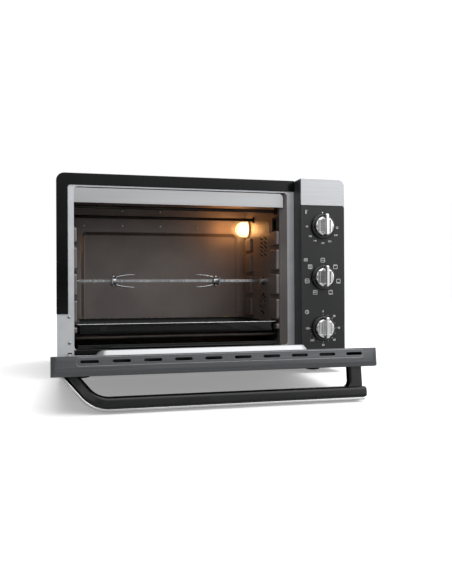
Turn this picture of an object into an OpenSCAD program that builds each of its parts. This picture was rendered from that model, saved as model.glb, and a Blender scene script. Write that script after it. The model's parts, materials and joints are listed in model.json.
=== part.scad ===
// Countertop rotisserie oven with a drop-down door, a turning spit and a side control panel.
// The origin is on the worktop, at the centre of the footprint that the open oven covers.

/* [Body] */
// Width over the oven and its control panel
body_w = 560; // [500:1:680]
// Height from the worktop to the top of the front
body_h = 386; // [360:1:470]
// Depth from the bezel's face to the back panel's outer face
body_d = 330; // [300:1:420]
// Height of the feet
foot_h = 12; // [8:1:20]
// Diameter of a foot
foot_d = 30; // [20:1:40]
// Thickness of the casing and frame sheet
sheet = 0.8; // [0.6:0.1:1.6]
// Width of the control panel
panel_w = 92; // [85:1:120]
// How far the control panel stands forward of the bezel
panel_out = 37; // [30:1:50]
// Height of the silver cap on the control panel
cap_h = 54; // [40:1:60]

/* [Front frame] */
// Width of the bezel's left leg
bezel_side = 21; // [15:1:26]
// Height of the bezel's top bar
bezel_top = 22; // [15:1:24]
// Height above the worktop where the left leg ends
bezel_end = 122; // [100:1:150]
// Outer corner radius of the front
front_r = 15; // [8:1:20]
// Left edge of the mouth
mouth_left = 32; // [29:1:34]
// Right edge of the mouth, measured back from the control panel
mouth_right = 15; // [13:1:20]
// Bottom edge of the mouth above the worktop
mouth_bottom = 54; // [52:1:60]
// Top edge of the mouth, measured down from the top
mouth_top = 25; // [24:1:30]

/* [Cavity] */
// Depth of the cavity behind the bezel's face
cavity_d = 262; // [230:1:270]
// Wall thickness of the cavity
wall = 0.7; // [0.5:0.1:1.2]
// Distance between shelf grooves
groove_pitch = 50.5; // [45:0.5:53]
// Height of the lowest shelf groove above the worktop
groove_first = 100.5; // [96:0.5:104]
// Height of a shelf groove
groove_h = 8; // [7:0.5:10]
// How far the shelf blocks stand out of the side walls
block_t = 6.5; // [5:0.5:8]
// Diameter of a heating element
element_d = 6.5; // [6:0.5:8]
// Height of the spit's axis above the worktop
spit_z = 185; // [178:1:195]
// Distance of the spit's axis behind the bezel's face
spit_y = 116; // [105:1:130]
// Thickness of the square spit rod
spit_t = 6; // [5:0.5:7]

/* [Door] */
// Thickness of the door
door_t = 27; // [22:1:30]
// Height of the closed door's bottom edge above the worktop
door_bottom = 40; // [38:1:44]
// How far the open door still rises towards its free edge, in degrees
door_tilt = 6.7; // [4:0.1:9]
// Clearance round the door
door_gap = 1; // [0.8:0.1:2]
// Width of the silver band at the top of the door
band_h = 54; // [40:1:60]
// Length of a vent slot in the door's top edge
slot_l = 24; // [15:1:26]
// Height of a vent slot
slot_h = 4; // [2:0.5:5]
// Distance between vent slots
slot_pitch = 41.9; // [36:0.1:44]
// Thickness of the door glass
glass_t = 4; // [3:0.5:5]
// Radius of a hinge pin
hinge_r = 2; // [1.5:0.1:2.5]

/* [Handle] */
// Distance from the door to the inside of the handle bar
grip_gap = 29; // [24:1:32]
// Height of the black part of the bar
bar_t = 15.5; // [12:0.5:18]
// Depth of the bar along the door
bar_d = 28; // [22:1:32]
// Thickness of the silver strip on the handle
strip_t = 4; // [2:0.5:5]
// Width of a handle leg
leg_w = 21; // [16:1:26]
// How far the left leg leans inwards
lean = 38; // [25:1:45]

/* [Knobs] */
// Diameter of a knob's black skirt
skirt_d = 49; // [42:1:54]
// Diameter of a knob's chrome disc
disc_d = 38; // [32:1:40]
// Distance between the knobs
knob_pitch = 101; // [92:1:104]
// Height of the lowest knob above the worktop
knob_first = 88.5; // [80:0.5:96]
// Radius of a control spindle
spindle_r = 3; // [2.5:0.5:4]

/* [Tray] */
// Depth of the baking tray's bowl
tray_h = 20; // [12:1:25]
// Length of the baking tray from front to back
tray_l = 224; // [180:1:226]
// Thickness of the tray sheet
tray_t = 1; // [0.8:0.1:1.5]

/* [Fits] */
// Running clearance of a shaft in its bore, on the radius
run = 0.05; // [0.03:0.01:0.08]
// Clearance between parts that are assembled face to face
gap = 0.3; // [0.2:0.05:0.5]

/* [Hidden] */
$fn = 48;
bay_w = body_w - panel_w;
mouth_x2 = bay_w - mouth_right;
mouth_z2 = body_h - mouth_top;
frame_y = 1.5;
frame_back = frame_y + sheet;
bezel_t = frame_y - gap / 2;
casing_in = 1;
casing_y2 = body_d - sheet - gap;
pan_z = foot_h;

cavity_x1 = mouth_left - 1.2;
cavity_x2 = mouth_x2 - 13;
cavity_z1 = mouth_bottom;
cavity_z2 = mouth_z2 - 1.5;
cavity_y1 = frame_back + gap;
flare_y = 12;
groove_n = 4;
block_front = [12, 62];
block_back = [200, 246];
centre_panel = [72, 164];
emboss = 1.2;
element_y = [32, 193];
deflector_h = 28;
element_top_z = cavity_z2 - 32;
element_low_z = cavity_z1 + 20;
terminal_l = 16;
lamp_y = 240;
lamp_z = cavity_z2 - 49.5;
lamp_r = 20;
dome_r = 18;
dome_l = 8;
dome_t = 2;
bulb_r = 9;
fan_y = 118;
fan_z = 134;
fan_r = 35;
vent_y = 116;
vent_z = 259;
vent_pitch = 9;
back_r = 14;
back_in = 6;

louvre_n = 9;
louvre_pitch = 18;
louvre_y = 120;
louvre_z = [90, 210];
louvre_l = 46;
louvre_w = 5;
grille_n = 10;
grille_pitch = 7;
grille_w = 3.5;
grille_l = 40;
pan_lip = 18;

pivot_y = -panel_out + door_t + 4;
pivot_z = door_bottom + 4.5;
door_x1 = 1.2;
door_w = bay_w - door_gap - door_x1;
door_root = door_bottom - pivot_z;
door_end = body_h - pivot_z;
door_in = -panel_out + door_t - pivot_y;
door_out = -panel_out - pivot_y;
rail_w = 22;
skin = 2;
edge_t = 3;
plan_r = 9;
bevel = 7;
band_y = door_end - band_h;
root_h = 20;
pan_w = 16;
slot_n = 10;
slot_drop = 8;
slot_shift = 6;
slot_x = door_x1 + (door_w - (slot_n - 1) * slot_pitch) / 2 + slot_shift;
pan_up = 9;
pan_x = 66;
pan_a = [52, 238];
arm_x = 22.2;
arm_w = 3.4;
tab_t = 1.6;

handle_near = door_end - 11.5;
handle_far = handle_near - bar_d;
leg_near = handle_near - 13;
leg_d = leg_near - handle_far - 1;
handle_left = 16;
handle_right = bay_w - handle_left;
bar_in = door_out - grip_gap;
bar_out = bar_in - bar_t;
bar_r = 34;

handle_low = bar_out - strip_t;
lean_a = atan2(lean, door_out - handle_low);

knob_x = body_w - 46.5;
knob_n = 3;
skirt_t = 6;
disc_t = 7;
ridge_t = 12;
ridge_w = 8;
scoop_r = 6;
fascia_t = 2.6;
shell_t = 2.4;
control_d = 26;
spindle_l = 22;
cap_top = 1;
cap_r = 13;
cap_seam = 1.4;
cap_z = body_h - cap_h;
shaft_r = 4;
tray_y = 20;
tray_side = 1.6;
tray_rim = 4;
crumb_z = cavity_z1 + 1.5;
crumb_side = 8;
crumb_l = 236;
crumb_h = 7;
crumb_t = 1;
crumb_lip = 60;

socket_r = 9;
bearing_r = 3.4;
fork_x = [112, 330];
fork_l = 45;
fork_h = 13;
prong_r = 2;

gland_x = body_w - 48;
gland_z = 60;
gland_r = 7;
gland_out = 6;
back_screws = [[24, 40], [24, body_h - 30], [body_w / 2, 40], [body_w / 2, body_h - 30],
    [body_w - 24, 30], [body_w - 24, body_h - 30]];
screw_r = 2;

foot_x = [foot_d + 16, body_w - foot_d - 16];
foot_y = [22, body_d - 34];

edge_reach = door_end * cos(door_tilt) - (door_out + bevel) * sin(door_tilt);
handle_reach = handle_near * cos(door_tilt) - handle_low * sin(door_tilt);
front_reach = max(edge_reach, handle_reach) - pivot_y;
origin_x = body_w / 2;
origin_y = (body_d + gland_out - front_reach) / 2;

// ---------- helpers ----------

// Moves the design's corner frame to the origin under the footprint's centre.
module place() {
    translate([-origin_x, -origin_y, 0]) children();
}

// Stands an outline drawn in X and Z upright and gives it a thickness along Y.
module upright(y, t) {
    translate([0, y + t, 0]) rotate([90, 0, 0]) linear_extrude(t) children();
}

// Stands an outline drawn in Y and Z upright and gives it a length along X.
module across(x, l) {
    translate([x, 0, 0]) rotate([90, 0, 90]) linear_extrude(l) children();
}

// A round bar along X.
module bar_x(x, l, r) {
    translate([x, 0, 0]) rotate([0, 90, 0]) cylinder(r = r, h = l);
}

// A round bar along Y.
module bar_y(y, l, r) {
    translate([0, y + l, 0]) rotate([90, 0, 0]) cylinder(r = r, h = l);
}

// A rectangle with round corners, from its low corner.
module round_rect(w, h, r) {
    translate([r, 0]) square([w - 2 * r, h]);
    translate([0, r]) square([w, h - 2 * r]);
    for (x = [r, w - r], y = [r, h - r]) translate([x, y]) circle(r = r);
}

// A slot with round ends, centred.
module slot(l, h) {
    square([l - h, h], center = true);
    for (s = [-1, 1]) translate([s * (l - h) / 2, 0]) circle(d = h);
}

// The door's own frame: origin on the hinge axis, -Y to the free edge, +Z up from the inner face.
module on_door() {
    place() translate([0, pivot_y, pivot_z]) rotate([-door_tilt, 0, 0]) children();
}

// The front's outline with a round top left corner.
module front_outline(x1, z1, x2, z2, r) {
    translate([x1, z1]) square([x2 - x1, z2 - z1 - r]);
    translate([x1 + r, z1]) square([x2 - x1 - r, z2 - z1]);
    translate([x1 + r, z2 - r]) circle(r = r);
}

// ---------- body ----------

module casing_outline(inset) {
    w = body_w - 2 * casing_in - 2 * inset;
    h = body_h - casing_in - pan_z - inset;
    r = front_r - inset;
    square([w, h - r]);
    translate([r, 0]) square([w - 2 * r, h]);
    for (x = [r, w - r]) translate([x, h - r]) circle(r = r);
}

module outer_casing() color("#26272a") place() difference() {
    translate([casing_in, 0, pan_z]) upright(frame_back + gap, casing_y2 - frame_back - gap)
        difference() {
            casing_outline(0);
            translate([sheet, -1]) casing_outline(sheet);
            translate([sheet, -1]) square([body_w - 2 * casing_in - 2 * sheet, 40]);
        }
    for (k = [0 : louvre_n - 1], z = louvre_z)
        translate([body_w - casing_in - 3, louvre_y + k * louvre_pitch, z]) cube([6, louvre_w, louvre_l]);
}

module base_pan() color("#3a3b3e") place() difference() {
    x = casing_in + sheet + gap;
    union() {
        translate([x, cavity_y1, pan_z]) cube([body_w - 2 * x, casing_y2 - cavity_y1, sheet]);
        for (s = [x, body_w - x - sheet])
            translate([s, cavity_y1, pan_z]) cube([sheet, casing_y2 - cavity_y1, pan_lip]);
    }
    for (fx = foot_x, fy = foot_y) translate([fx, fy, pan_z - 1]) cylinder(r = 2.2, h = sheet + 2);
}

module back_panel() color("#2c2d30") place() difference() {
    translate([casing_in, 0, pan_z]) upright(casing_y2 + gap, body_d - casing_y2 - gap)
        casing_outline(0);
    for (k = [0 : grille_n - 1], z = [0 : 2])
        translate([bay_w + 12 + k * grille_pitch, casing_y2 - 1, louvre_y + z * 1.5 * grille_l])
            cube([grille_w, 6, grille_l]);
    translate([gland_x, 0, gland_z]) bar_y(casing_y2 - 1, 6, gland_r);
    for (p = back_screws) translate([p[0], 0, p[1]]) bar_y(casing_y2 - 1, 6, 2);
}

module front_frame() color("#b9bbbe") place() difference() {
    upright(frame_y, sheet) difference() {
        front_outline(0.6, pan_z, bay_w - gap, body_h - 0.6, front_r);
        translate([mouth_left, mouth_bottom])
            round_rect(mouth_x2 - mouth_left, mouth_z2 - mouth_bottom, 7);
    }
    for (s = [arm_x, bay_w - arm_x - arm_w])
        translate([s - tab_t - 2 * gap, 0, pivot_z - 5]) cube([arm_w + 2 * tab_t + 4 * gap, 6, 10]);
}

module bezel_trim() color("#17181a") place() upright(0, bezel_t) difference() {
    front_outline(0, bezel_end, bay_w - gap, body_h, front_r);
    translate([bezel_side, 0]) front_outline(0, 0, body_w, body_h - bezel_top, 5);
}

// ---------- cavity ----------

module cavity_ceiling() color("#55514c") place()
    translate([cavity_x1 + gap, cavity_y1, cavity_z2])
        cube([cavity_x2 - cavity_x1 - 2 * gap, cavity_d - cavity_y1 - gap, wall]);

module cavity_floor() color("#3d3b39") place()
    translate([cavity_x1 + gap, cavity_y1, cavity_z1 - wall])
        cube([cavity_x2 - cavity_x1 - 2 * gap, cavity_d - cavity_y1 - gap, wall]);

module cavity_back() color("#45423f") place() {
    x1 = cavity_x1 + 16;
    w = cavity_x2 - cavity_x1 - 42;
    z1 = cavity_z1 + 36;
    h = cavity_z2 - z1 - 58;
    difference() {
        union() {
            translate([cavity_x1 - wall, cavity_d, cavity_z1 - wall])
                cube([cavity_x2 - cavity_x1 + 2 * wall, wall, cavity_z2 - cavity_z1 + 2 * wall]);
            upright(cavity_d, back_in + wall) translate([x1, z1]) round_rect(w, h, back_r);
        }
        upright(cavity_d - 1, back_in + 1) translate([x1 + wall, z1 + wall])
            round_rect(w - 2 * wall, h - 2 * wall, back_r - wall);
    }
}

// One column of shelf blocks on a side wall, from y[0] to y[1].
module shelf_blocks(y) {
    for (k = [-1 : groove_n - 1]) {
        low = groove_first + k * groove_pitch + groove_h / 2;
        top = low + groove_pitch - groove_h;
        z1 = max(low, cavity_z1 + 30);
        z2 = min(top, cavity_z2 - 74);
        translate([y[0], z1]) round_rect(y[1] - y[0], z2 - z1, 4);
    }
}

module cavity_left() color("#5a554f") place() difference() {
    union() {
        translate([cavity_x1 - wall, cavity_y1, cavity_z1 - wall])
            cube([wall, cavity_d - gap - cavity_y1, cavity_z2 - cavity_z1 + 2 * wall]);
        across(cavity_x1 - wall / 2, block_t + wall / 2) {
            shelf_blocks(block_front);
            shelf_blocks(block_back);
        }
        across(cavity_x1 - wall / 2, emboss + wall / 2) translate([centre_panel[0], cavity_z1 + 36])
            round_rect(centre_panel[1] - centre_panel[0], cavity_z2 - cavity_z1 - 84, 10);
    }
    wall_holes(cavity_x1 - 3, 12);
}

// The holes for the heating elements and the spit through a side wall.
module wall_holes(x, l) {
    for (y = element_y, z = [element_top_z, element_low_z])
        translate([0, y, z]) bar_x(x, l, element_d / 2 + gap);
    translate([0, spit_y, spit_z]) bar_x(x, l, socket_r + gap);
}

module cavity_right() color("#5a554f") place() difference() {
    union() {
        translate([cavity_x2, flare_y, cavity_z1 - wall])
            cube([wall, cavity_d - gap - flare_y, cavity_z2 - cavity_z1 + 2 * wall]);
        translate([0, 0, cavity_z1 - wall]) linear_extrude(cavity_z2 - cavity_z1 + 2 * wall)
            polygon([[cavity_x2, flare_y + 1], [cavity_x2 + wall, flare_y + 1],
                [mouth_x2 + wall, cavity_y1], [mouth_x2 - 0.5, cavity_y1], [cavity_x2, flare_y]]);
        across(cavity_x2 - block_t, block_t + wall / 2) {
            shelf_blocks([flare_y + 2, block_front[1]]);
            shelf_blocks(block_back);
        }
        across(cavity_x2 - emboss, emboss + wall / 2) translate([centre_panel[0], cavity_z1 + 36])
            round_rect(centre_panel[1] - centre_panel[0], cavity_z2 - cavity_z1 - 84, 10);
    }
    wall_holes(cavity_x2 - 8, 14);
    translate([0, fan_y, fan_z]) bar_x(cavity_x2 - 8, 14, fan_r);
    for (r = [-2 : 2], c = [-1, 1])
        translate([cavity_x2 - 8, vent_y + c * 13, vent_z + r * vent_pitch]) rotate([20, 0, 0])
            across(0, 14) slot(20, 3.6);
    translate([0, lamp_y, lamp_z]) bar_x(cavity_x2 - 8, 14, lamp_r - 3);
}

module top_deflector() color("#c9cbcd") place() {
    w = mouth_x2 - 8 - cavity_x1 - gap;
    h = deflector_h - gap;
    translate([cavity_x1 + gap, 0, cavity_z2 - deflector_h]) upright(cavity_y1, wall) {
        square([w - 9, h]);
        square([w, h - 9]);
        translate([w - 9, h - 9]) circle(r = 9);
    }
}

module element(y, z) color("#4a4644") place() {
    translate([0, y, z]) bar_x(cavity_x1 - terminal_l, cavity_x2 - cavity_x1 + 2 * terminal_l, element_d / 2);
}

module element_top_front() element(element_y[0], element_top_z);
module element_top_rear() element(element_y[1], element_top_z);
module element_low_front() element(element_y[0], element_low_z);
module element_low_rear() element(element_y[1], element_low_z);

module element_brackets() color("#2f2d2c") place()
    for (x = [cavity_x1 + gap, cavity_x2 - 2 - gap], y = element_y, z = [element_top_z, element_low_z])
        difference() {
            across(x, 2) translate([y - 7, z - 7]) round_rect(14, 14, 4);
            translate([0, y, z]) bar_x(x - 1, 4, element_d / 2 + gap);
        }

module lamp_holder() color("#d8d4cc") place()
    translate([0, lamp_y, lamp_z]) {
        difference() {
            bar_x(cavity_x2 - 4, 4 - gap, lamp_r);
            bar_x(cavity_x2 - 5, 6, lamp_r - 4);
        }
        difference() {
            bar_x(cavity_x2 - gap, 26, lamp_r - 4);
            bar_x(cavity_x2 - gap - 1, 24, lamp_r - 6);
        }
    }

// The bulb stands in the dome, and its neck in the holder behind the wall.
module lamp_bulb() color("#ffd9a0") place()
    translate([cavity_x2 - bulb_r, lamp_y, lamp_z]) rotate([0, 90, 0]) {
        sphere(r = bulb_r);
        cylinder(r = 6, h = bulb_r + 22.4);
    }

module dome(r) {
    cylinder(r = r, h = dome_l);
    translate([0, 0, dome_l]) sphere(r = r);
}

module lamp_glass() color("#fff0c8") place()
    translate([cavity_x2 - 4 - gap, lamp_y, lamp_z]) rotate([0, -90, 0]) difference() {
        intersection() {
            dome(dome_r);
            cylinder(r = dome_r + 1, h = dome_l + dome_r + 1);
        }
        translate([0, 0, -0.01]) dome(dome_r - dome_t);
    }

// ---------- controls ----------

// The control panel's outline from the front, with a round top right corner.
module panel_outline(inset, z1) {
    w = panel_w - inset;
    h = body_h - cap_top - inset - z1;
    r = cap_r - inset;
    translate([bay_w, z1]) {
        square([w, h - r]);
        square([w - r, h]);
        translate([w - r, h - r]) circle(r = r);
    }
}

module spindle_holes(r) {
    for (k = [0 : knob_n - 1])
        translate([knob_x, 0, knob_first + k * knob_pitch]) bar_y(-panel_out - 1, 12, r);
}

module control_housing() color("#3a3c3f") place() difference() {
    y = -panel_out + fascia_t + gap;
    union() {
        upright(y, frame_back - y) intersection() {
            panel_outline(0, pan_z);
            translate([bay_w, pan_z]) square([panel_w, cap_z - pan_z - gap]);
        }
        upright(y, frame_back - y) panel_outline(shell_t + gap, cap_z - 1);
    }
    upright(y + shell_t, frame_back - y) intersection() {
        translate([bay_w + shell_t, pan_z + shell_t])
            square([panel_w - 3 * shell_t, body_h - pan_z - 4 * shell_t]);
        panel_outline(2 * shell_t + gap, pan_z);
    }
    spindle_holes(spindle_r + 0.8);
}

module control_fascia() color("#2b2c2e") place() difference() {
    upright(-panel_out, fascia_t)
        translate([bay_w, pan_z]) round_rect(panel_w, cap_z - pan_z - cap_seam, 1.5);
    spindle_holes(spindle_r + 0.8);
}

module silver_cap() color("#c6c8cb") place() difference() {
    upright(-panel_out, frame_back + panel_out) panel_outline(0, cap_z);
    upright(-panel_out + fascia_t, frame_back + panel_out) panel_outline(shell_t, cap_z - 1);
}

// The can of a switch behind the fascia, with a bore for the knob's spindle.
module control_can(k, w, h) place() translate([knob_x, 0, knob_first + k * knob_pitch]) difference() {
    y = -panel_out + fascia_t + shell_t + 2 * gap;
    translate([-w / 2, y, -h / 2]) cube([w, control_d, h]);
    bar_y(y - 1, spindle_l + 3, spindle_r + run);
}

module timer() color("#d9d6cc") control_can(0, 44, 44);
module selector_switch() color("#ded9c4") control_can(1, 36, 30);
module thermostat() color("#cfd2d4") control_can(2, 40, 26);

module knob_skirt(k) place() translate([knob_x, -panel_out - gap, knob_first + k * knob_pitch]) {
    difference() {
        bar_y(-skirt_t, skirt_t, skirt_d / 2);
        bar_y(-skirt_t - 1, 3, disc_d / 2 - 6);
    }
    bar_y(-1, spindle_l, spindle_r);
}

module knob_cap(k) place() translate([knob_x, -panel_out - gap - skirt_t, knob_first + k * knob_pitch])
    difference() {
        union() {
            bar_y(-disc_t, disc_t, disc_d / 2);
            translate([-ridge_w / 2, -disc_t - ridge_t, -disc_d / 2 + 3])
                cube([ridge_w, ridge_t + 1, disc_d + 1]);
        }
        for (s = [-1, 1]) translate([s * (ridge_w / 2 + scoop_r), -disc_t - scoop_r / 2, 7 - disc_d / 2])
            cylinder(r = scoop_r, h = disc_d - 14);
    }

module timer_skirt() color("#161617") knob_skirt(0);
module timer_cap() color("#e6e6e8") knob_cap(0);
module function_skirt() color("#161617") knob_skirt(1);
module function_cap() color("#e6e6e8") knob_cap(1);
module heat_skirt() color("#161617") knob_skirt(2);
module heat_cap() color("#e6e6e8") knob_cap(2);

// ---------- spit and fan ----------

module spit_motor() color("#8d8f92") place() translate([0, spit_y, spit_z]) difference() {
    translate([cavity_x2 + 17, -26, -30]) cube([24, 52, 52]);
    bar_x(cavity_x2 + 16, 14, shaft_r + run);
}

module spit_socket() color("#b4b6b8") place() translate([0, spit_y, spit_z]) difference() {
    union() {
        bar_x(cavity_x2 - 8, 22, socket_r);
        bar_x(cavity_x2 + 13, 14, shaft_r);
    }
    translate([cavity_x2 - 9, -spit_t / 2 - 0.1, -spit_t / 2 - 0.1]) cube([17, spit_t + 0.2, spit_t + 0.2]);
}

module spit_bearing() color("#9a9c9f") place() translate([0, spit_y, spit_z]) difference() {
    union() {
        bar_x(cavity_x1 - 5, 8, socket_r);
        bar_x(cavity_x1 + emboss + gap, 2, socket_r + 5);
    }
    bar_x(cavity_x1 - 6, 14, bearing_r + run);
}

module spit_rod() color("#b9bbbd") place() translate([0, spit_y, spit_z]) {
    bar_x(cavity_x1 - 2, 12, bearing_r);
    translate([cavity_x1 + 9, -spit_t / 2, -spit_t / 2]) cube([cavity_x2 - cavity_x1 - 3, spit_t, spit_t]);
}

// A pair of prongs on a boss that slides on the spit rod. The prongs point along d.
module spit_fork(x, d) place() translate([x, spit_y, spit_z]) difference() {
    union() {
        bar_x(-6, 12, 9);
        translate([-2, -4, -fork_h - 3]) cube([4, 8, 2 * fork_h + 6]);
        for (s = [-1, 1]) translate([0, 0, s * fork_h]) bar_x(d > 0 ? 0 : -fork_l, fork_l, prong_r);
    }
    translate([-7, -spit_t / 2 - 0.1, -spit_t / 2 - 0.1]) cube([14, spit_t + 0.2, spit_t + 0.2]);
}

module spit_fork_left() color("#c4c6c8") spit_fork(fork_x[0], 1);
module spit_fork_right() color("#c4c6c8") spit_fork(fork_x[1], -1);

module fork_screws() color("#8f9194") place()
    for (x = fork_x) translate([x + (x == fork_x[0] ? -4 : 4), spit_y - 9 - gap / 2, spit_z]) {
        bar_y(-8, 8, 1.8);
        translate([-1.5, -14, -7]) cube([3, 8, 14]);
    }

module fan_grille() color("#7b746c") place() translate([0, fan_y, fan_z]) difference() {
    bar_x(cavity_x2 - emboss, 1.5, fan_r - gap);
    for (k = [0 : 11]) rotate([k * 30, 0, 0])
        translate([cavity_x2 - 4, 0, 19]) rotate([25, 0, 0]) across(0, 4) slot(4, 18);
}

module fan_rotor() color("#a7a9ab") place() translate([0, fan_y, fan_z]) {
    bar_x(cavity_x2 + 2, 9, 7);
    for (k = [0 : 5]) rotate([k * 60, 0, 0])
        translate([cavity_x2 + 3, -1, 6]) rotate([0, 0, 18]) cube([6, 2, 23]);
    bar_x(cavity_x2 + 10, 20, 2.5);
}

module fan_motor() color("#7f8184") place() translate([0, fan_y, fan_z]) difference() {
    translate([cavity_x2 + 17, -22, -22]) cube([30, 44, 40]);
    bar_x(cavity_x2 + 16, 16, 2.5 + run);
}

// ---------- trays ----------

module baking_tray() color("#26282b") place() {
    x1 = cavity_x1 + tray_side;
    bowl = block_t + 3;
    w = cavity_x2 - tray_side - x1 - 2 * bowl;
    l = tray_l - 2 * tray_rim;
    z = groove_first;
    difference() {
        translate([x1 + bowl, tray_y + tray_rim, z - tray_h]) cube([w, l, tray_h]);
        translate([x1 + bowl + tray_t, tray_y + tray_rim + tray_t, z - tray_h + tray_t])
            cube([w - 2 * tray_t, l - 2 * tray_t, tray_h]);
    }
    difference() {
        translate([x1, tray_y, z - tray_t]) cube([w + 2 * bowl, tray_l, tray_t + 1]);
        translate([x1 + bowl, tray_y + tray_rim, z - tray_t - 1]) cube([w, l, tray_t + 3]);
    }
}

module crumb_tray() color("#202123") place() {
    x1 = cavity_x1 + crumb_side;
    y1 = cavity_y1 + 2;
    w = cavity_x2 - crumb_side - x1;
    difference() {
        translate([x1, y1, crumb_z]) cube([w, crumb_l, crumb_h]);
        translate([x1 + crumb_t, y1 + crumb_t, crumb_z + crumb_t])
            cube([w - 2 * crumb_t, crumb_l - 2 * crumb_t, crumb_h]);
    }
    translate([x1 + crumb_lip, y1 - 7, crumb_z + crumb_t]) cube([w - 2 * crumb_lip, 7.5, 1.5]);
}

// ---------- fittings ----------

module hinge_brackets() color("#a3a5a8") place()
    for (x = [arm_x, bay_w - arm_x - arm_w]) {
        for (s = [-tab_t - gap, arm_w + gap]) across(x + s, tab_t) {
            translate([pivot_y, pivot_z]) circle(r = 3.5);
            translate([pivot_y, pivot_z - 3.5]) square([8 - pivot_y, 7]);
        }
        translate([0, pivot_y, pivot_z]) bar_x(x - tab_t - gap, arm_w + 2 * tab_t + 2 * gap, hinge_r);
        translate([x - tab_t - gap, 7, pivot_z - 3.5]) cube([arm_w + 2 * tab_t + 2 * gap, 2, 7]);
    }

module feet() color("#141415") place()
    for (x = foot_x, y = foot_y) translate([x, y, 0]) {
        cylinder(r = foot_d / 2, h = foot_h - gap / 2);
        cylinder(r = 2, h = foot_h + 6);
    }

module casing_screws() color("#6e7073") place()
    for (p = back_screws) translate([p[0], 0, p[1]]) {
        bar_y(body_d, 2, 3.6);
        bar_y(casing_y2 - 6, body_d - casing_y2 + 6.5, screw_r - 0.2);
    }

module cable_gland() color("#1b1b1c") place() translate([gland_x, 0, gland_z]) difference() {
    union() {
        bar_y(body_d, gland_out, gland_r + 3);
        bar_y(casing_y2 - 6, body_d - casing_y2 + 7, gland_r - 0.2);
    }
    bar_y(casing_y2 - 7, 30, 3.6);
}

// ---------- door ----------

// The side profile of the door's top end, with a bevelled outer corner.
module top_profile(inset) {
    polygon([[-door_end + inset, door_in - inset], [-door_end + inset, door_out + bevel],
        [-door_end + bevel / 2 + inset, door_out + inset / 2], [-band_y - inset, door_out + inset / 2],
        [-band_y - inset, door_in - inset]]);
}

module door_top_cap() color("#a9abae") on_door() difference() {
    intersection() {
        across(door_x1, door_w) top_profile(0);
        translate([door_x1, -door_end, door_out - 1])
            linear_extrude(door_t + 2) door_plan();
    }
    across(door_x1 + edge_t, door_w - 2 * edge_t) top_profile(edge_t);
    for (k = [0 : slot_n - 1])
        translate([slot_x + k * slot_pitch, 0, door_in - slot_drop])
            upright(-door_end - 1, edge_t + 2) slot(slot_l, slot_h);
}

// The door's outline from inside, with the two free corners rounded.
module door_plan() {
    r = plan_r;
    translate([0, r]) square([door_w, band_h - r]);
    translate([r, 0]) square([door_w - 2 * r, band_h]);
    for (x = [r, door_w - r]) translate([x, r]) circle(r = r);
}

// A sheet-metal tube that frames one side of the door.
module side_rail(x) on_door() difference() {
    translate([x, -band_y + gap, door_out]) cube([rail_w, band_y - gap - door_root, door_t]);
    translate([x + skin, -band_y - 1, door_out + skin])
        cube([rail_w - 2 * skin, band_y - door_root + 2, door_t - 2 * skin]);
}

module door_rail_left() color("#1d1e20") side_rail(door_x1);
module door_rail_right() color("#1d1e20") side_rail(door_x1 + door_w - rail_w);

module door_rail_bottom() color("#1d1e20") on_door() {
    x = door_x1 + rail_w + gap / 2;
    w = door_w - 2 * rail_w - gap;
    difference() {
        translate([x, -root_h, door_out]) cube([w, root_h - door_root, door_t]);
        translate([x - 1, -root_h + skin, door_out + skin])
            cube([w + 2, root_h - door_root - 2 * skin, door_t - 2 * skin]);
    }
}

// A pane between the rails, with its lower face at z.
module pane(z) on_door()
    translate([door_x1 + rail_w + gap / 2, -band_y + gap, z])
        cube([door_w - 2 * rail_w - gap, band_y - root_h - 2 * gap, glass_t]);

module door_outer_glass() color("#0b0c0e", 0.75) pane(door_out);
module door_inner_glass() color("#101113", 0.8) pane(door_in - glass_t);

module door_inner_pan() color("#d6d7d9") on_door() translate([pan_x, -pan_a[1], door_in])
    linear_extrude(pan_up) difference() {
        round_rect(door_w + 2 * door_x1 - 2 * pan_x, pan_a[1] - pan_a[0], 12);
        translate([pan_w, pan_w])
            round_rect(door_w + 2 * door_x1 - 2 * pan_x - 2 * pan_w, pan_a[1] - pan_a[0] - 2 * pan_w, 6);
    }

module hinge_arms() color("#a3a5a8") on_door()
    for (x = [arm_x, bay_w - arm_x - arm_w]) across(x, arm_w) difference() {
        union() {
            circle(r = -door_in);
            translate([-28, door_in]) square([28, -door_in]);
        }
        circle(r = hinge_r + run);
    }

// ---------- handle ----------

// Points of an arc round c, in degrees.
function arc(c, r, a1, a2, n) = [for (k = [0 : n]) let (a = a1 + (a2 - a1) * k / n) c + r * [cos(a), sin(a)]];

// The handle's left end at a distance w inside its outer face, from the door to the bar.
function left_end(w, r) =
    let (cz = handle_low + w + r, cx = handle_left + (w + r - (cz - door_out) * sin(lean_a)) / cos(lean_a))
    concat([[handle_left + w / cos(lean_a), door_out]], arc([cx, cz], r, 180 + lean_a, 270, 12));

function reversed(p) = [for (k = [len(p) - 1 : -1 : 0]) p[k]];

module handle_outline() {
    polygon(concat(left_end(strip_t, bar_r + bar_t),
        [[handle_right, bar_out], [handle_right, door_out], [handle_right - leg_w, door_out],
            [handle_right - leg_w, bar_in]],
        reversed(left_end(strip_t + bar_t, bar_r))));
}

module handle_bar() color("#1c1d1f") on_door() {
    upright(-leg_near, leg_d) handle_outline();
    upright(-handle_near, bar_d) intersection() {
        handle_outline();
        translate([0, bar_out - 1]) square([body_w, bar_t + 1]);
    }
}

module handle_strip() color("#d4d6d8") on_door() upright(-handle_near + 3, bar_d - 6)
    polygon(concat(left_end(0, bar_r + bar_t + strip_t),
        [[handle_right - 3, handle_low], [handle_right - 3, bar_out]],
        reversed(left_end(strip_t, bar_r + bar_t))));

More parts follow.
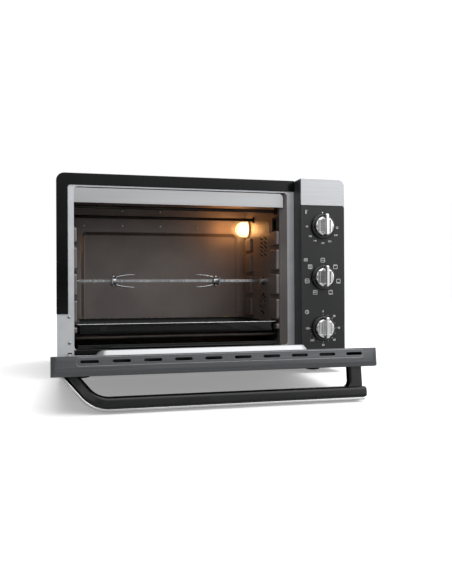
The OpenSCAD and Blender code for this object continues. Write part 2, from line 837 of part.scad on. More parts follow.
outer_casing();
base_pan();
back_panel();
front_frame();
bezel_trim();
cavity_ceiling();
cavity_floor();
cavity_back();
cavity_left();
cavity_right();
top_deflector();
element_top_front();
element_top_rear();
element_low_front();
element_low_rear();
element_brackets();
lamp_holder();
lamp_bulb();
lamp_glass();
control_housing();
control_fascia();
silver_cap();
thermostat();
selector_switch();
timer();
spit_motor();
spit_bearing();
fan_motor();
fan_grille();
hinge_brackets();
feet();
casing_screws();
cable_gland();
spit_socket();
spit_rod();
spit_fork_left();
spit_fork_right();
fork_screws();
fan_rotor();
baking_tray();
crumb_tray();
door_top_cap();
door_rail_left();
door_rail_right();
door_rail_bottom();
door_inner_pan();
door_outer_glass();
door_inner_glass();
hinge_arms();
handle_bar();
handle_strip();
timer_skirt();
timer_cap();
function_skirt();
function_cap();
heat_skirt();
heat_cap();
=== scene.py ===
import json
from math import atan2, cos, pi, radians, sin

import bmesh
import bpy
from mathutils import Matrix, Vector


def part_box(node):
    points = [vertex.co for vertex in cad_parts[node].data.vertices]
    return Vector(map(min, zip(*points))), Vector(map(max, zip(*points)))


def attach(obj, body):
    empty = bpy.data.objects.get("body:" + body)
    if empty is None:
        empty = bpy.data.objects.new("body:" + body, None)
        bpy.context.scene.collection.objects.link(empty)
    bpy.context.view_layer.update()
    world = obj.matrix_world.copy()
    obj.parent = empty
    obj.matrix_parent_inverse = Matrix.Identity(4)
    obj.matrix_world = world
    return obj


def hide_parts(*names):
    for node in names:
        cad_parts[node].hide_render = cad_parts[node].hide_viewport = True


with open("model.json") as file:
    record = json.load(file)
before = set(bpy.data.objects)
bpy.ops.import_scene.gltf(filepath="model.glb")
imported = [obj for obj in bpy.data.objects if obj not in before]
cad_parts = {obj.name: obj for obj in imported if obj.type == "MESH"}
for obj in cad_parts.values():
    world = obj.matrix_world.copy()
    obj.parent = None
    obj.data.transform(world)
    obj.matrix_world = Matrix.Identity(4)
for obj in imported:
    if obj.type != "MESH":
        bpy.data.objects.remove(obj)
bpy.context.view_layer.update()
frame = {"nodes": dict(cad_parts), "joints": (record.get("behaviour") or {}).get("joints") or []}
MM = 0.001


# Camera: it stands left of the oven's middle, a little above its centre height,
# and looks almost level and slightly to the right, as a product is usually shown.
turn, tip, lean = radians(13.06), radians(-0.27), radians(-0.29)
camera = bpy.data.objects.new("camera", bpy.data.cameras.new("camera"))
bpy.context.scene.collection.objects.link(camera)
bpy.context.scene.camera = camera
camera.data.lens, camera.data.sensor_width = 37.26, 36
camera.data.shift_x, camera.data.shift_y = 0.01986, -0.00993
camera.matrix_world = (
    Matrix.Translation((-0.2479, -1.1521, 0.1673))
    @ Matrix.Rotation(-turn, 4, "Z")
    @ Matrix.Rotation(pi / 2 - tip, 4, "X")
    @ Matrix.Rotation(lean, 4, "Z")
)


# Floor and light: a matt white studio sheet, a large soft box overhead, a weaker one on the
# right and another in front. The sky stands for white walls, brighter on the right.
def linear(code, alpha=1.0):
    """An sRGB hex colour as the linear numbers that Blender mixes."""
    parts = [int(code[k:k + 2], 16) / 255 for k in (1, 3, 5)]
    return [p / 12.92 if p <= 0.04045 else ((p + 0.055) / 1.055) ** 2.4 for p in parts] + [alpha]


def add(tree, kind, settings=(), links=()):
    """A node with its settings and the sockets that feed it."""
    made = tree.nodes.new("ShaderNode" + kind)
    for key, value in dict(settings).items():
        if isinstance(key, int) or key in made.inputs:
            made.inputs[key].default_value = value
        else:
            setattr(made, key, value)
    for key, source in dict(links).items():
        tree.links.new(source, made.inputs[key])
    return made


def finish(name, colours, rough, blotch, grain, depth, run=(1, 1, 1), **sockets):
    """A surface: its colour drifts between two tones in blotches, its gloss between two
    roughnesses, and a grain of the given size and depth stands on it. Sizes are in mm.
    run stretches the grain: 0.02 along X makes brush lines fifty times longer than wide.
    Every other name is a socket of the shader, with its constant value."""
    made = bpy.data.materials.new(name)
    made.use_nodes = True
    tree = made.node_tree
    shader = tree.nodes["Principled BSDF"]
    for key, value in sockets.items():
        shader.inputs[key.replace("_", " ")].default_value = value
    place = add(tree, "TexCoord").outputs["Object"]
    along = add(tree, "Mapping", {"Scale": run}, {"Vector": place}).outputs["Vector"]
    patch = add(tree, "TexNoise", {"Scale": 1000 / blotch, "Detail": 3.0}, {"Vector": along})
    tone = add(tree, "ValToRGB", {}, {"Fac": patch.outputs["Fac"]})
    for stop, position, code in zip(tone.color_ramp.elements, (0.35, 0.65), colours):
        stop.position, stop.color = position, linear(code)
    tree.links.new(tone.outputs["Color"], shader.inputs["Base Color"])
    fine = add(tree, "TexNoise", {"Scale": 1000 / grain, "Detail": 2.0}, {"Vector": along})
    gloss = add(tree, "MapRange",
                {"From Min": 0.3, "From Max": 0.7, "To Min": rough[0], "To Max": rough[1]},
                {"Value": patch.outputs["Fac"]})
    tree.links.new(gloss.outputs["Result"], shader.inputs["Roughness"])
    bump = add(tree, "Bump", {"Strength": 1.0, "Distance": depth * MM},
               {"Height": fine.outputs["Fac"]})
    tree.links.new(bump.outputs["Normal"], shader.inputs["Normal"])
    return made


def softbox(name, place, aim, size, power):
    """A white rectangular light at a place, turned to the point it aims at."""
    lamp = bpy.data.lights.new(name, "AREA")
    lamp.shape, lamp.size, lamp.size_y = "RECTANGLE", size[0], size[1]
    lamp.energy = power
    stand = bpy.data.objects.new(name, lamp)
    bpy.context.scene.collection.objects.link(stand)
    stand.location = place
    stand.rotation_euler = (Vector(aim) - Vector(place)).to_track_quat("-Z", "Y").to_euler()


bpy.context.scene.view_settings.view_transform = "Standard"
sky = bpy.data.worlds.new("studio_walls")
bpy.context.scene.world = sky
sky.use_nodes = True
room = sky.node_tree
way = add(room, "SeparateXYZ", {}, {"Vector": add(room, "TexCoord").outputs["Generated"]})
level = add(room, "MapRange", {"From Min": -1.0}, {"Value": way.outputs["Z"]})
walls = add(room, "ValToRGB", {}, {"Fac": level.outputs["Result"]})
stops = walls.color_ramp.elements
wall_greys = ((0.5, 0.15), (1.0, 0.6), (0.53, 0.25), (0.58, 0.9), (0.75, 0.95))
for stop, (position, grey) in zip([*stops, *(stops.new(0.9) for k in range(3))], wall_greys):
    stop.position, stop.color = position, (grey, grey, grey, 1)
side = add(room, "MapRange", {"From Min": -0.1, "From Max": 0.5, "To Min": 0.42, "To Max": 1.4},
           {"Value": way.outputs["X"]})
light = add(room, "Math", {"operation": "MULTIPLY"},
            {0: walls.outputs["Color"], 1: side.outputs["Result"]})
seen = add(room, "LightPath").outputs["Is Camera Ray"]
white = add(room, "Math", {"operation": "MAXIMUM"}, {0: light.outputs["Value"], 1: seen})
room.links.new(white.outputs["Value"], room.nodes["Background"].inputs["Strength"])
room.nodes["Background"].inputs["Color"].default_value = (1, 1, 1, 1)
bpy.ops.mesh.primitive_grid_add(x_subdivisions=24, y_subdivisions=24, size=14)
floor = bpy.context.object
floor.name = "studio_floor"
paper = finish("matt_paper", ("#f6f6f6", "#f9f9f9"), (0.8, 0.9), 400, 3, 0.02)
shine = paper.node_tree.nodes["Principled BSDF"]
shine.inputs["Emission Color"].default_value = (1, 1, 1, 1)
direct = add(paper.node_tree, "LightPath").outputs["Is Camera Ray"]
fill = add(paper.node_tree, "Math", {"operation": "MULTIPLY", 1: 0.3}, {0: direct})
paper.node_tree.links.new(fill.outputs["Value"], shine.inputs["Emission Strength"])
weaker = add(paper.node_tree, "MapRange", {"To Min": 0.4, "To Max": 1.0}, {"Value": direct})
tint = shine.inputs["Base Color"].links[0].from_socket
dimmed = add(paper.node_tree, "VectorMath", {"operation": "SCALE"},
             {"Vector": tint, "Scale": weaker.outputs["Result"]})
paper.node_tree.links.new(dimmed.outputs["Vector"], shine.inputs["Base Color"])
floor.data.materials.append(paper)
softbox("overhead_box", (0.2, -0.5, 2.3), (0, -0.1, 0.2), (2.8, 2.4), 34)
softbox("right_box", (1.9, -1.7, 1.1), (0, 0, 0.2), (2.6, 2.4), 12)
softbox("front_box", (-0.4, -2.4, 1.7), (0, 0, 0.2), (3.2, 1.6), 9)


# Feet: four black rubber pucks, moulded with a soft rim, each pushed into a hole in
# the base pan by its stem. The oven stands on them.
def new_piece(name, mesh):
    """A mesh or curve put in the scene."""
    made = bpy.data.objects.new(name, mesh)
    bpy.context.scene.collection.objects.link(made)
    return made


def shade(mesh, angle=38):
    """Smooth shading that breaks only at edges sharper than the angle."""
    mesh.shade_smooth()
    mesh.set_sharp_from_angle(angle=radians(angle))


def skin(name, loops, ends="capped"):
    """A surface through loops of equal point counts. Its two ends are capped or joined."""
    n, m = len(loops[0]), len(loops)
    spans = m if ends == "joined" else m - 1
    faces = [(k * n + i, k * n + (i + 1) % n, (k + 1) % m * n + (i + 1) % n, (k + 1) % m * n + i)
             for k in range(spans) for i in range(n)]
    if ends == "capped":
        faces += [tuple(range(n)), tuple((m - 1) * n + i for i in range(n))]
    mesh = bpy.data.meshes.new(name)
    mesh.from_pydata([p for loop in loops for p in loop], [], faces)
    shape = bmesh.new()
    shape.from_mesh(mesh)
    bmesh.ops.remove_doubles(shape, verts=shape.verts, dist=1e-7)
    bmesh.ops.recalc_face_normals(shape, faces=shape.faces)
    shape.to_mesh(mesh)
    shape.free()
    shade(mesh)
    return new_piece(name, mesh)


def upright_on(centre, axis):
    """A place whose Z runs along the axis."""
    return Matrix.Translation(centre) @ Vector(axis).to_track_quat("Z", "Y").to_matrix().to_4x4()


def turned(name, profile, centre, axis=(0, 0, 1), sides=48):
    """A lathe part: profile holds (distance along the axis, radius) in mm from the centre."""
    stand = upright_on(centre, axis)
    circle = [(cos(2 * pi * k / sides), sin(2 * pi * k / sides)) for k in range(sides)]
    return skin(name, [[stand @ Vector((r * MM * c, r * MM * s, d * MM)) for c, s in circle]
                       for d, r in [(d, max(r, 0.01)) for d, r in profile]])


def gather(name, parts):
    """Several meshes as one piece."""
    shape = bmesh.new()
    for part in parts:
        shape.from_mesh(part.data)
        bpy.data.objects.remove(part)
    mesh = bpy.data.meshes.new(name)
    shape.to_mesh(mesh)
    shape.free()
    shade(mesh)
    return new_piece(name, mesh)


def fit(piece, material, body, slot, *nodes):
    """Gives a piece its finish and its place on a body, and lets it stand for CAD nodes."""
    piece.data.materials.clear()
    piece.data.materials.append(material)
    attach(piece, body)
    if nodes:
        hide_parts(*nodes)
    return piece


# Moulded nitrile rubber: dull, faintly grained, and grey where it has rubbed.
rubber = finish("moulded_rubber", ("#151516", "#212122"), (0.7, 0.85), 6, 0.8, 0.03)
low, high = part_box("feet")
foot_r, foot_h = 15, 11.85
puck = [(0, 0), (0, 9.5), (0.8, 10.5), (0.8, 13.4), (1.6, 14.6), (2.6, foot_r), (9, foot_r),
        (10.6, 14.5), (11.6, 13), (foot_h, 11), (foot_h, 0)]
pucks = [turned("puck", puck, (x, y, 0))
         for x in (low.x + foot_r * MM, high.x - foot_r * MM)
         for y in (low.y + foot_r * MM, high.y - foot_r * MM)]
fit(gather("rubber_feet", pucks), rubber, "oven", "foot_rubber", "feet")


# Base pan, outer casing and back panel: folded sheet steel. The pan is bare galvanised
# sheet, the wrapper and the back are powder coated black, and self-tapping screws hold the back.
def whole(node):
    """A copy of a CAD node's mesh with its points joined and its flat faces made whole."""
    shape = bmesh.new()
    shape.from_mesh(frame["nodes"][node].data)
    bmesh.ops.remove_doubles(shape, verts=shape.verts, dist=2e-6)
    bmesh.ops.dissolve_limit(shape, angle_limit=radians(0.6), verts=shape.verts, edges=shape.edges)
    return shape


def settle(shape, name):
    """Turns a mesh in the making into a piece."""
    mesh = bpy.data.meshes.new(name)
    shape.to_mesh(mesh)
    shape.free()
    mesh.shade_smooth()
    return new_piece(name, mesh)


def rounded(node, name, edge, rings=2):
    """A CAD node's shape with its sharp edges rounded, in mm."""
    return ease(settle(whole(node), name), edge, rings)


def ease(piece, edge, rings=2):
    """Rounds a piece's sharp edges, in mm, and lets the flat faces keep their own shading."""
    if edge:
        bevel = piece.modifiers.new("edge", "BEVEL")
        bevel.width, bevel.segments = edge * MM, rings
        bevel.limit_method, bevel.angle_limit = "ANGLE", radians(35)
        bevel.use_clamp_overlap = False
        bake(piece)
    shade(piece.data, 40)
    piece.modifiers.new("normals", "WEIGHTED_NORMAL").keep_sharp = True
    return bake(piece)


def bake(piece):
    """Makes the modifiers part of the mesh."""
    graph = bpy.context.evaluated_depsgraph_get()
    piece.data = bpy.data.meshes.new_from_object(
        piece.evaluated_get(graph), preserve_all_data_layers=True, depsgraph=graph)
    piece.modifiers.clear()
    return piece


# Hot-dip galvanised sheet: dull silver with pale and dark spangles about 9 mm wide.
galvanised = finish("galvanised_sheet", ("#84888c", "#a6aaad"), (0.34, 0.5), 9, 2, 0.01, Metallic=1.0)
# Polyester powder coat: near black, half gloss, with the fine orange peel of baked powder.
powder_coat = finish("powder_coat", ("#191a1c", "#1d1e20"), (0.4, 0.45), 60, 1.6, 0.03)
fit(rounded("base_pan", "folded_base_pan", 0.2), galvanised, "oven", "pan_zinc", "base_pan")
fit(rounded("outer_casing", "casing_wrapper", 0.25), powder_coat, "oven", "casing_enamel",
    "outer_casing")
fit(rounded("back_panel", "pressed_back", 0.25), powder_coat, "oven", "casing_enamel", "back_panel")


def loop_of(box, r, inset=0.0, steps=6):
    """Points round a rectangle (x0, y0, x1, y1) with corner radius r, moved inwards by inset."""
    x0, y0, x1, y1 = box[0] + inset, box[1] + inset, box[2] - inset, box[3] - inset
    r = max(r - inset, 0.0001)
    corners = ((x1 - r, y0 + r, -90), (x1 - r, y1 - r, 0),
               (x0 + r, y1 - r, 90), (x0 + r, y0 + r, 180))
    return [(cx + r * cos(radians(a + 90 * k / steps)), cy + r * sin(radians(a + 90 * k / steps)))
            for cx, cy, a in corners for k in range(steps + 1)]


def hoop(box, r, inset, height, stand):
    """Such a loop at a height above a place."""
    return [stand @ Vector((x, y, height)) for x, y in loop_of(box, r, inset)]


def pressed(name, box, r, profile, stand, ends="capped"):
    """A pressing: profile holds (inset, height) steps in metres from its outline to its middle."""
    return skin(name, [hoop(box, r, i, h, stand) for i, h in profile], ends)


# Insulation board: dark grey pressed fibre, dull, glued inside the casing behind its louvres.
fibre = finish("pressed_fibre_board", ("#161514", "#24221f"), (0.85, 0.95), 7, 1.2, 0.08)
low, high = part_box("outer_casing")
back_low, back_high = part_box("back_panel")
inside = Matrix(((0, 0, -1, high.x - 1.3 * MM), (1, 0, 0, 0), (0, 1, 0, 0), (0, 0, 0, 1)))
behind = Matrix(((1, 0, 0, 0), (0, 0, -1, back_low.y - 2.2 * MM), (0, 1, 0, 0), (0, 0, 0, 1)))
board_edge, board_r = [(0.4 * MM, 0), (0, 0.4 * MM), (0, 1.6 * MM), (0.4 * MM, 2 * MM)], 5 * MM
boards = [pressed("board", box, board_r, board_edge, stand) for box, stand in (
    ((low.y + 100 * MM, 78 * MM, high.y - 42 * MM, 270 * MM), inside),
    ((back_high.x - 86 * MM, 104 * MM, back_high.x - 8 * MM, 300 * MM), behind))]
fit(gather("insulation_boards", boards), fibre, "oven", "casing_enamel")

# Zinc-plated screw: bluish bright metal, its pan head with a cross recess.
plated = finish("zinc_plated_screw", ("#8a8f96", "#b3b8be"), (0.25, 0.4), 4, 0.5, 0.005, Metallic=1.0)


def cross_head(name, centre, axis, head, height):
    """A pan head screw with a cross recess, lying on a sheet. Sizes are in mm."""
    screw = turned(name, [(0, head), (0.25 * height, head), (0.7 * height, 0.82 * head),
                          (0.95 * height, 0.5 * head), (height, 0)], centre, axis, 32)
    long, wide = 0.55 * head, 0.12 * head
    for spin in (0, pi / 2):
        stand = upright_on(centre, axis) @ Matrix.Rotation(spin, 4, "Z")
        outline = (-long, -wide), (long, -wide), (long, wide), (-long, wide)
        groove = skin("groove", [[stand @ Vector((x * MM, y * MM, z * MM)) for x, y in outline]
                                 for z in (0.35 * height, 1.5 * height)])
        cut(screw, groove)
    shade(screw.data)
    return screw


def cut(piece, tool, how="DIFFERENCE"):
    """Cuts a tool's shape out of a piece, or adds it."""
    change = piece.modifiers.new("cut", "BOOLEAN")
    change.operation, change.object, change.solver = how, tool, "EXACT"
    bake(piece)
    bpy.data.objects.remove(tool)
    return piece


low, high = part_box("casing_screws")
head_r, head_h = 3.6, 2
xs = (low.x + head_r * MM, (low.x + high.x) / 2, high.x - head_r * MM)
heads = [cross_head("head", (x, high.y - head_h * MM, z), (0, 1, 0), head_r, head_h)
         for x in xs for z in (low.z + head_r * MM, high.z - head_r * MM)]
fit(gather("back_screws", heads), plated, "oven", "screw_steel", "casing_screws")

# Moulded nylon: black, satin, with a soft moulding texture.
nylon = finish("moulded_nylon", ("#18181a", "#222224"), (0.42, 0.55), 12, 0.9, 0.02)
low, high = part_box("cable_gland")
gland_end = (high.y - low.y) / MM
gland = [(0, 3.8), (0, 6.8), (gland_end - 6, 6.8), (gland_end - 6, 10), (gland_end - 1.2, 10),
         (gland_end - 0.3, 9.2), (gland_end, 8), (gland_end, 5.2), (gland_end - 1, 3.8)]
fit(turned("cord_gland", gland, ((low.x + high.x) / 2, low.y, (low.z + high.z) / 2), (0, 1, 0)),
    nylon, "oven", "gland_nylon", "cable_gland")


# Front frame and bezel: the frame is a stamped sheet with a satin zinc finish that ties the
# casing, the cavity and the hinges together. The glossy black bezel is glued over its edge,
# and two small studs hold the frame's left side.
# Satin zinc: pale grey metal with a soft even sheen and faint rolling marks.
satin_zinc = finish("satin_zinc", ("#d0d2d6", "#d9dbde"), (0.38, 0.46), 30, 1.2, 0.01, Metallic=0.3)
# Stove enamel: deep black glass on steel, whose rolled edges catch a thin bright line.
black_enamel = finish("stove_enamel", ("#08090a", "#0d0e10"), (0.14, 0.2), 60, 6, 0.012,
                      Specular_IOR_Level=0.28)
fit(rounded("front_frame", "stamped_front_frame", 0.25), satin_zinc, "oven", "frame_zinc", "front_frame")
fit(rounded("bezel_trim", "bezel_strip", 1.1, 4), black_enamel, "oven", "bezel_enamel", "bezel_trim")
frame_low, frame_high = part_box("front_frame")
stud_spots = (21.8, 116.6), (22.6, 68.1)
studs = [turned("stud", [(0, 0), (0, 3), (0.8, 2.8), (1.5, 1.8), (1.7, 0)],
                (frame_low.x + x * MM, frame_low.y, z * MM), (0, -1, 0), 24) for x, z in stud_spots]
fit(gather("frame_studs", studs), plated, "oven", "screw_steel")


# Cavity: five panels of aluminised steel, folded and spot welded. Rounded blocks pressed out
# of the side walls leave the shelf grooves, and a rectangle is pressed into the back.
def rolled(node, name, planes):
    """A pressed wall, with the edges that lie in the planes x rolled over by a radius in mm."""
    shape = whole(node)
    for x, radius in planes:
        rim = [e for e in shape.edges if len(e.link_faces) == 2 and e.calc_face_angle(0) > radians(50)
               and all(abs(v.co.x - x) < 2e-5 for v in e.verts)]
        bmesh.ops.bevel(shape, geom=rim, offset=radius * MM, segments=4, profile=0.5, affect="EDGES",
                        clamp_overlap=False)
    return ease(settle(shape, name), 0)


# Aluminised steel: warm grey, satin, with fine rolling lines, a little browned by cooking.
aluminised = finish("aluminised_steel", ("#7d7674", "#87817e"), (0.32, 0.4), 80, 2, 0.01,
                    Metallic=0.55)
sheet, block_out, panel_out = 0.7 * MM, 6.5 * MM, 1.2 * MM
fold_r, step_r = 2.2, 0.9
for node, name in (("cavity_ceiling", "cavity_top_sheet"), ("cavity_floor", "cavity_floor_sheet")):
    fit(rounded(node, name, 0.2), aluminised, "oven", "cavity_steel", node)
low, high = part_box("cavity_left")
fit(rolled("cavity_left", "cavity_left_wall", ((high.x, fold_r), (low.x + sheet + panel_out, step_r))),
    aluminised, "oven", "cavity_steel", "cavity_left")
back_low, back_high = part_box("cavity_back")
inner_x = back_high.x - sheet
fit(rolled("cavity_right", "cavity_right_wall",
           ((inner_x - block_out, fold_r), (inner_x - panel_out, step_r))),
    aluminised, "oven", "cavity_steel", "cavity_right")
upright = Matrix(((1, 0, 0, 0), (0, 0, 1, back_low.y), (0, 1, 0, 0), (0, 0, 0, 1)))
plate = (back_low.x, back_low.z, back_high.x, back_high.z)
pan = (back_low.x + 16.7 * MM, back_low.z + 36.7 * MM,
       back_high.x - 20.7 * MM, back_high.z - 58.7 * MM)
pan_r, plate_r = 14 * MM, 0.1 * MM
slope = [(0, 0), (0.5, 0.1), (1.4, 0.6), (2.4, 1.6), (6.4, 4.6), (7.4, 5.5), (8.4, 5.9), (9.2, 6)]
loops = [hoop(pan, pan_r, i * MM, h * MM + sheet, upright) for i, h in reversed(slope)]
loops += [hoop(plate, plate_r, 0, h, upright) for h in (sheet, 0)]
loops += [hoop(pan, pan_r, i * MM, h * MM, upright) for i, h in slope]
fit(skin("cavity_back_sheet", loops), aluminised, "oven", "cavity_steel", "cavity_back")
# Steel spot rivets: small bright domes in two rows above the pressed rectangle.
riveted = finish("rivet_steel", ("#c9c5c0", "#d8d5d1"), (0.2, 0.3), 2, 0.5, 0.004, Metallic=0.9)
first_rivet, rivet_pitch = 24.5, 88
rivets = [turned("rivet", [(0, 0), (0, 2.6), (1.1, 2.5), (2, 1.9), (2.5, 0)],
                 (back_low.x + (first_rivet + k * rivet_pitch) * MM, back_low.y, back_high.z - drop * MM),
                 (0, -1, 0), 20)
          for drop, places in ((44, (0, 1, 2, 3)), (10, (1, 2, 3))) for k in places]
fit(gather("wall_rivets", rivets), riveted, "oven", "screw_steel")


# Tube holder: a small folded sheet for the upper tubes, welded to the right wall, from which
# it stands out as a shallow dark box.
# Blackened steel: dark grey, worn to metal in patches.
blackened = finish("blackened_steel", ("#262524", "#3b3937"), (0.45, 0.6), 10, 1, 0.02, Metallic=0.7)
sideways = Matrix(((0, 0, -1, inner_x), (1, 0, 0, back_low.y), (0, 1, 0, 0), (0, 0, 0, 1)))
holder_box = (-242 * MM, back_high.z - 76 * MM, -210 * MM, back_high.z - 44 * MM)
holder = pressed("tube_holder", holder_box, 3 * MM,
                 [(0, 0), (0, 2.2 * MM), (0.8 * MM, 3 * MM), (4 * MM, 3 * MM), (5 * MM, 2 * MM),
                  (5 * MM, 0)], sideways)
fit(holder, blackened, "oven", "bracket_steel")


# Top deflector: a bright strip of stainless steel that hangs behind the mouth's upper edge
# and keeps the heat of the upper element off the frame.
# Bright annealed stainless: pale and bright, with faint lengthwise rolling lines.
bright_stainless = finish("bright_annealed_stainless", ("#bcbdbf", "#c6c7c9"), (0.34, 0.42), 25, 1.5,
                          0.006, (0.05, 1, 1), Metallic=0.9)
fit(rounded("top_deflector", "heat_deflector", 0.2), bright_stainless, "oven", "deflector_steel",
    "top_deflector")


# Dark band: a thin black enamel strip laid on the frame's front below the mouth,
# which makes that band of the frame dark.
dark_band_box = (frame_low.x + 31.2 * MM, 44.5 * MM, frame_high.x - 29 * MM, 54.6 * MM)
dark_band = pressed("dark_band_below_mouth", dark_band_box, 1.5 * MM,
               [(0, 0), (0, 0.5 * MM), (0.3 * MM, 0.8 * MM), (1.2 * MM, 1 * MM)],
               Matrix(((1, 0, 0, 0), (0, 0, -1, frame_low.y), (0, 1, 0, 0), (0, 0, 0, 1))))
fit(dark_band, black_enamel, "oven", "bezel_enamel")


# Heating elements: four straight tubes of nickel alloy with ceramic ends, held in punched
# brackets on the side walls.
# Oxidised nickel alloy: dark olive brown after its first heating, dull.
oxidised = finish("oxidised_nickel_alloy", ("#2c2826", "#45403b"), (0.5, 0.65), 14, 1.5, 0.03, (0.3, 1, 1),
                  Metallic=0.6)
for node, name in (("element_top_front", "upper_front_tube"), ("element_top_rear", "upper_rear_tube"),
                   ("element_low_front", "lower_front_tube"), ("element_low_rear", "lower_rear_tube")):
    low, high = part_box(node)
    length, r = (high.x - low.x) / MM, (high.z - low.z) / 2 / MM
    half_tube = [(0, 0), (0, 1.4), (5, 1.4), (5, 2.6), (8, 2.6), (8, r - 0.4), (8.6, r)]
    tube = turned(name, half_tube + [(length - d, tube_r) for d, tube_r in reversed(half_tube)],
                  (low.x, (low.y + high.y) / 2, (low.z + high.z) / 2), (1, 0, 0), 32)
    fit(tube, oxidised, "oven", "element_incoloy", node)
fit(rounded("element_brackets", "tube_brackets", 0.3), blackened, "oven", "bracket_steel",
    "element_brackets")


# Oven lamp: a small bulb in a glazed ceramic holder behind the right wall, under a frosted
# glass dome. It is lit, and its warm light falls on the back and the right wall.
# Glazed ceramic: off white and smooth, with a small sharp highlight.
ceramic = finish("glazed_ceramic", ("#d9d4c8", "#e6e2d8"), (0.2, 0.3), 12, 2, 0.01)
fit(rounded("lamp_holder", "lamp_socket", 0.4), ceramic, "oven", "lamp_ceramic", "lamp_holder")


def glowing(name, colour, strength, **sockets):
    """Glass with a light of its own colour and strength."""
    return finish(name, (colour, "#fffaf0"), (0.2, 0.3), 9, 0.8, 0.02, Emission_Color=linear(colour),
                  Emission_Strength=strength, **sockets)


# Hot bulb glass: pale yellow and glowing, so that it shows as one bright spot.
bulb_glass = glowing("hot_bulb_glass", "#ffe3b4", 14)
# Frosted glass: it lets the bulb through and spreads its light to a soft warm patch.
dome_glass = glowing("frosted_dome_glass", "#ffd08c", 1.1, Transmission_Weight=0.75)
fit(rounded("lamp_bulb", "small_bulb", 0), bulb_glass, "oven", "lamp_frost", "lamp_bulb")
fit(rounded("lamp_glass", "lamp_dome", 0.3), dome_glass, "oven", "lamp_cover", "lamp_glass")
low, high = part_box("lamp_glass")
glow = bpy.data.lights.new("lamp_glow", "POINT")
glow.energy, glow.color, glow.shadow_soft_size = 0.3, linear("#ffae66")[:3], 0.02
glow_stand = bpy.data.objects.new("lamp_glow", glow)
bpy.context.scene.collection.objects.link(glow_stand)
glow_stand.location = (low.x - 0.024, (low.y + high.y) / 2 - 0.02, (low.z + high.z) / 2)
glow_stand.visible_glossy = False


# Control panel: a moulded housing beside the front, with a satin black fascia in front and a
# brushed silver cap on top. The timer, the selector and the thermostat sit behind it.
# Moulded ABS: dark grey, satin, finely grained.
abs_grey = finish("moulded_abs", ("#2c2e31", "#343639"), (0.4, 0.5), 40, 0.9, 0.02)
# Painted fascia: satin black with the faintest sparkle grain.
fascia_paint = finish("satin_fascia_paint", ("#191a1b", "#1d1e1f"), (0.34, 0.42), 50, 0.8, 0.012)
# Brushed aluminium: light grey, its brush lines run across the panel and stretch each highlight.
brushed = finish("brushed_aluminium", ("#bfc1c4", "#cacccf"), (0.36, 0.44), 1.4, 1, 0.008,
                 (0.015, 1, 1), Metallic=0.9)
fit(rounded("control_housing", "panel_housing", 0.5), abs_grey, "oven", "housing_plastic",
    "control_housing")
fit(rounded("control_fascia", "panel_fascia", 0.5), fascia_paint, "oven", "fascia_black",
    "control_fascia")
fit(rounded("silver_cap", "panel_cap", 0.7, 3), brushed, "oven", "brushed_silver", "silver_cap")
# Nickelled sheet: thin drawn switch cans, pale grey with a blurred shine.
nickelled = finish("nickelled_sheet", ("#a3a5a8", "#b8babc"), (0.3, 0.42), 8, 1, 0.01, Metallic=1.0)
# Moulded phenolic: cream and hard, with a dull gloss.
phenolic = finish("moulded_phenolic", ("#cbc5ae", "#d8d3bf"), (0.4, 0.5), 14, 1, 0.015)
fit(rounded("timer", "timer_case", 0.8), nickelled, "oven", "switch_steel", "timer")
fit(rounded("thermostat", "thermostat_case", 0.8), nickelled, "oven", "switch_steel", "thermostat")
fit(rounded("selector_switch", "selector_case", 0.8), phenolic, "oven", "switch_plastic",
    "selector_switch")

# Scales: numbers and simple signs printed on the fascia round each knob, for minutes at the
# timer, ways of heating at the selector and degrees at the thermostat.
# Silk-screen ink: a thin matt layer of light grey, which stays pale beside the glossy knobs.
ink = finish("screen_ink", ("#e2e3e4", "#efeff0"), (0.55, 0.65), 3, 0.6, 0.004)
low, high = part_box("control_fascia")
ink_t, stroke = 0.12, 0.8
printed = []


def dot(x, z, w, h, r):
    """A printed patch of w by h mm with corner radius r, centred x and z mm from the knob's centre."""
    printed.append(pressed("mark", (-w / 2 * MM, -h / 2 * MM, w / 2 * MM, h / 2 * MM), r * MM,
                           [(0, 0), (0, ink_t * MM)], face @ Matrix.Translation((x * MM, z * MM, 0))))


def ring(x, z, w, h, r):
    """The outline of such a patch."""
    printed.append(pressed("mark", (-w / 2 * MM, -h / 2 * MM, w / 2 * MM, h / 2 * MM), r * MM,
                           [(0, 0), (0, ink_t * MM), (stroke * MM, ink_t * MM), (stroke * MM, 0)],
                           face @ Matrix.Translation((x * MM, z * MM, 0)), "joined"))


def number(x, z, text, size):
    """A printed number, centred x and z mm from the knob's centre."""
    letters = bpy.data.curves.new("number", "FONT")
    letters.body, letters.size, letters.offset = text, size * MM, 0.06 * MM
    letters.align_x, letters.align_y = "CENTER", "CENTER"
    letters.extrude = ink_t / 2 * MM
    stand_in = new_piece("number", letters)
    graph = bpy.context.evaluated_depsgraph_get()
    mesh = bpy.data.meshes.new_from_object(stand_in.evaluated_get(graph))
    bpy.data.objects.remove(stand_in)
    mesh.transform(face @ Matrix.Translation((x * MM, z * MM, ink_t / 2 * MM)))
    printed.append(new_piece("number", mesh))


